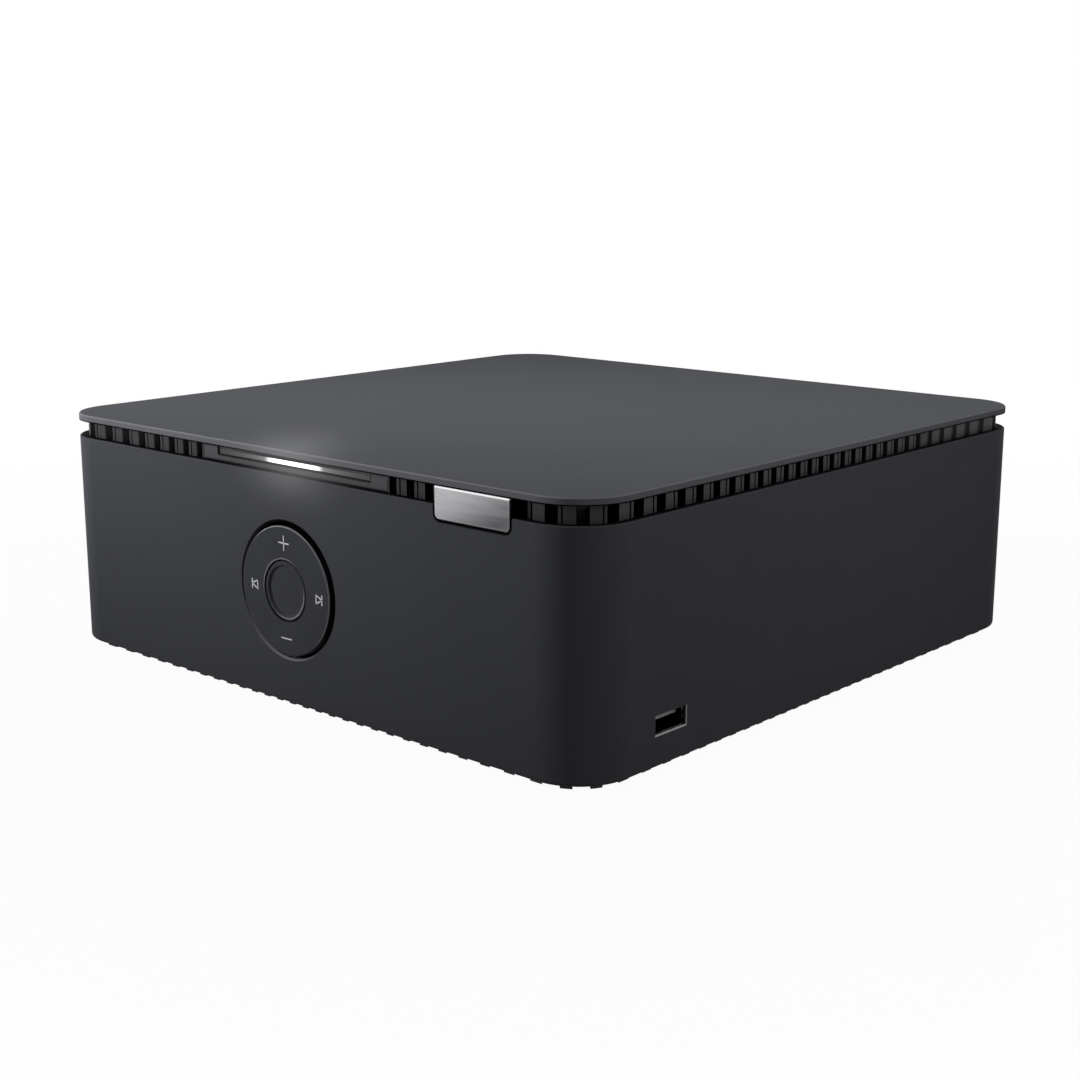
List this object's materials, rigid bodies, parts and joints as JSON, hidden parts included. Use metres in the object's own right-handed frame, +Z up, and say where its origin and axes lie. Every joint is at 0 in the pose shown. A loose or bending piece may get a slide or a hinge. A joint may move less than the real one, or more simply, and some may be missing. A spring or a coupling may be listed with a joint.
{
  "type": "audio amplifier",
  "caption": "Compact stereo amplifier in a square cabinet with a vent band under a flat lid, a light bar, a tilting ring control and recessed rear sockets.",
  "frame": {"origin": "centre of the footprint on the surface that the feet stand on", "axes": "+X to the right seen from the front, +Y to the back with the sockets, +Z up; the control dial faces -Y"},
  "size_m": [0.22, 0.2207, 0.0769],
  "materials": {
    "anthracite_lid": "satin anodised, fine grain",
    "anthracite_shell": "satin coating, fine grain",
    "vent_plastic": "moulded, satin",
    "light_panel": "moulded, satin",
    "light_diffuser": "frosted, lit from behind",
    "bare_aluminium": "brushed, clear anodised",
    "black_plastic": "moulded, fine texture",
    "dial_plastic": "satin, printed marks",
    "natural_plastic": "moulded, plain",
    "black_rubber": "matt",
    "zinc_steel": "zinc plated",
    "nickel_plate": "nickel plated, polished",
    "gold_plate": "gold plated",
    "red_plastic": "moulded, gloss",
    "grey_plastic": "moulded, gloss",
    "blue_board": "glass-filled board, solder mask",
    "chip_black": "moulded",
    "ferrite": "matt, with taped winding",
    "choke_shield": "matt",
    "capacitor_sleeve": "shrink sleeve",
    "black_anodised": "anodised, matt",
    "wire_sleeve": "smooth sleeve"
  },
  "bodies": {
    "cabinet": {"top_lid": "anthracite_lid", "lid_clips": "zinc_steel", "vent_frame": "vent_plastic", "frame_screws": "zinc_steel", "light_panel": "light_panel", "light_guide": "light_diffuser", "led_board": "blue_board", "badge_plate": "bare_aluminium", "enclosure_shell": "anthracite_shell", "dial_housing": "black_plastic", "control_board": "blue_board", "snap_domes": "nickel_plate", "dial_screws": "zinc_steel", "base_plate": "black_plastic", "rubber_feet": "black_rubber", "base_screws": "zinc_steel", "connector_bay": "black_plastic", "mains_inlet": "black_plastic", "mains_pins": "nickel_plate", "switch_housing": "black_plastic", "terminal_bushings": "grey_plastic", "terminal_studs": "gold_plate", "terminal_nuts": "gold_plate", "phono_block": "black_plastic", "phono_sleeves": "gold_plate", "phono_inserts": "natural_plastic", "optical_socket": "black_plastic", "hdmi_shell": "nickel_plate", "hdmi_tongue": "black_plastic", "lan_socket": "black_plastic", "usb_shell": "nickel_plate", "usb_tongue": "natural_plastic", "usb_board": "blue_board", "main_board": "blue_board", "amplifier_chips": "chip_black", "heatsink": "black_anodised", "output_chokes": "choke_shield", "wireless_module": "nickel_plate", "antenna_strip": "natural_plastic", "power_board": "blue_board", "power_transformer": "ferrite", "bulk_capacitors": "capacitor_sleeve", "board_screws": "zinc_steel", "speaker_wires": "wire_sleeve", "power_wires": "wire_sleeve", "signal_cables": "wire_sleeve"},
    "dial_carrier": {"dial_carrier": "natural_plastic"},
    "dial_ring": {"dial_ring": "dial_plastic"},
    "centre_button": {"centre_button": "dial_plastic"},
    "power_rocker": {"power_rocker": "grey_plastic"},
    "optical_shutter": {"optical_shutter": "grey_plastic"},
    "pairing_button": {"pairing_button": "grey_plastic"},
    "terminal_washer_1": {"terminal_washer_1": "nickel_plate"},
    "terminal_cap_1": {"terminal_cap_1": "red_plastic"},
    "terminal_washer_2": {"terminal_washer_2": "nickel_plate"},
    "terminal_cap_2": {"terminal_cap_2": "grey_plastic"},
    "terminal_washer_3": {"terminal_washer_3": "nickel_plate"},
    "terminal_cap_3": {"terminal_cap_3": "red_plastic"},
    "terminal_washer_4": {"terminal_washer_4": "nickel_plate"},
    "terminal_cap_4": {"terminal_cap_4": "grey_plastic"}
  },
  "joints": [
    {"name": "dial_tilt_plus_minus", "type": "hinge", "parent": "cabinet", "child": "dial_carrier", "pos_m": [0, -0.10453, 0.0369], "axis": [1, 0, 0], "range_deg": [-1.2, 1.2], "stiffness_Nm_per_rad": 0.3},
    {"name": "dial_tilt_back_next", "type": "hinge", "parent": "dial_carrier", "child": "dial_ring", "pos_m": [0, -0.10453, 0.0369], "axis": [0, 0, 1], "range_deg": [-1.2, 1.2], "stiffness_Nm_per_rad": 0.3},
    {"name": "centre_button_press", "type": "slide", "parent": "cabinet", "child": "centre_button", "axis": [0, 1, 0], "range_m": [0, 0.0004], "stiffness_N_per_m": 800},
    {"name": "power_rocker_tilt", "type": "hinge", "parent": "cabinet", "child": "power_rocker", "pos_m": [0.06885, 0.0848, 0.045], "axis": [1, 0, 0], "range_deg": [0, 22]},
    {"name": "optical_shutter_swing", "type": "hinge", "parent": "cabinet", "child": "optical_shutter", "pos_m": [0.00905, 0.0881, 0.02555], "axis": [-1, 0, 0], "range_deg": [0, 75], "stiffness_Nm_per_rad": 0.00005},
    {"name": "pairing_button_press", "type": "slide", "parent": "cabinet", "child": "pairing_button", "axis": [0, -1, 0], "range_m": [0, 0.0004], "stiffness_N_per_m": 400},
    {"name": "terminal_1_travel", "type": "slide", "parent": "cabinet", "child": "terminal_washer_1", "axis": [0, 1, 0], "range_m": [0, 0.003]},
    {"name": "terminal_1_turn", "type": "hinge", "parent": "terminal_washer_1", "child": "terminal_cap_1", "pos_m": [0.0447, 0.1, 0.0475], "axis": [0, 1, 0], "range_deg": [0, 1080]},
    {"name": "terminal_2_travel", "type": "slide", "parent": "cabinet", "child": "terminal_washer_2", "axis": [0, 1, 0], "range_m": [0, 0.003]},
    {"name": "terminal_2_turn", "type": "hinge", "parent": "terminal_washer_2", "child": "terminal_cap_2", "pos_m": [0.0257, 0.1, 0.0475], "axis": [0, 1, 0], "range_deg": [0, 1080]},
    {"name": "terminal_3_travel", "type": "slide", "parent": "cabinet", "child": "terminal_washer_3", "axis": [0, 1, 0], "range_m": [0, 0.003]},
    {"name": "terminal_3_turn", "type": "hinge", "parent": "terminal_washer_3", "child": "terminal_cap_3", "pos_m": [0.0447, 0.1, 0.026], "axis": [0, 1, 0], "range_deg": [0, 1080]},
    {"name": "terminal_4_travel", "type": "slide", "parent": "cabinet", "child": "terminal_washer_4", "axis": [0, 1, 0], "range_m": [0, 0.003]},
    {"name": "terminal_4_turn", "type": "hinge", "parent": "terminal_washer_4", "child": "terminal_cap_4", "pos_m": [0.0257, 0.1, 0.026], "axis": [0, 1, 0], "range_deg": [0, 1080]}
  ],
  "couplings": [
    {"joint": "terminal_1_turn", "follows": "terminal_1_travel", "rad_per_m": 6283.2},
    {"joint": "terminal_2_turn", "follows": "terminal_2_travel", "rad_per_m": 6283.2},
    {"joint": "terminal_3_turn", "follows": "terminal_3_travel", "rad_per_m": 6283.2},
    {"joint": "terminal_4_turn", "follows": "terminal_4_travel", "rad_per_m": 6283.2}
  ]
}
